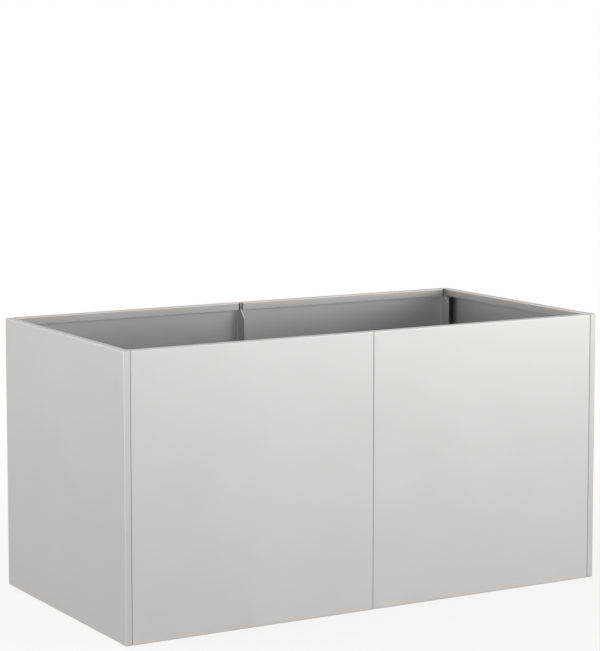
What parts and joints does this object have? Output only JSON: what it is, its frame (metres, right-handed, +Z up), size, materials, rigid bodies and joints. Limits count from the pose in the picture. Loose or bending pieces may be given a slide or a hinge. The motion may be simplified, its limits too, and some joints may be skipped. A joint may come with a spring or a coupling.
{
  "type": "floor planter",
  "caption": "Rectangular open-topped floor planter of folded stainless sheet panels bolted on inside flanges, with drained base trays and a cross brace.",
  "frame": {"origin": "on the ground, at the middle of the planter's footprint", "axes": "+X along the front wall from left to right, +Y from the front wall to the back wall, +Z up"},
  "size_m": [0.78, 0.4, 0.4],
  "materials": {
    "satin_stainless": "fine satin brushed stainless sheet",
    "mill_stainless": "matt mill-finish stainless sheet",
    "stainless_fasteners": "plain bright stainless"
  },
  "bodies": {
    "root": {"front_left_panel": "satin_stainless", "front_right_panel": "satin_stainless", "back_left_panel": "satin_stainless", "back_right_panel": "satin_stainless", "left_end_panel": "satin_stainless", "right_end_panel": "satin_stainless", "left_base_tray": "mill_stainless", "right_base_tray": "mill_stainless", "cross_brace": "mill_stainless", "front_left_corner_bolts": "stainless_fasteners", "front_left_corner_washers": "stainless_fasteners", "front_left_corner_weld_nuts": "stainless_fasteners", "front_right_corner_bolts": "stainless_fasteners", "front_right_corner_washers": "stainless_fasteners", "front_right_corner_weld_nuts": "stainless_fasteners", "back_left_corner_bolts": "stainless_fasteners", "back_left_corner_washers": "stainless_fasteners", "back_left_corner_weld_nuts": "stainless_fasteners", "back_right_corner_bolts": "stainless_fasteners", "back_right_corner_washers": "stainless_fasteners", "back_right_corner_weld_nuts": "stainless_fasteners", "front_seam_bolts": "stainless_fasteners", "front_seam_washers": "stainless_fasteners", "front_seam_nuts": "stainless_fasteners", "back_seam_bolts": "stainless_fasteners", "back_seam_washers": "stainless_fasteners", "back_seam_nuts": "stainless_fasteners"}
  },
  "joints": []
}
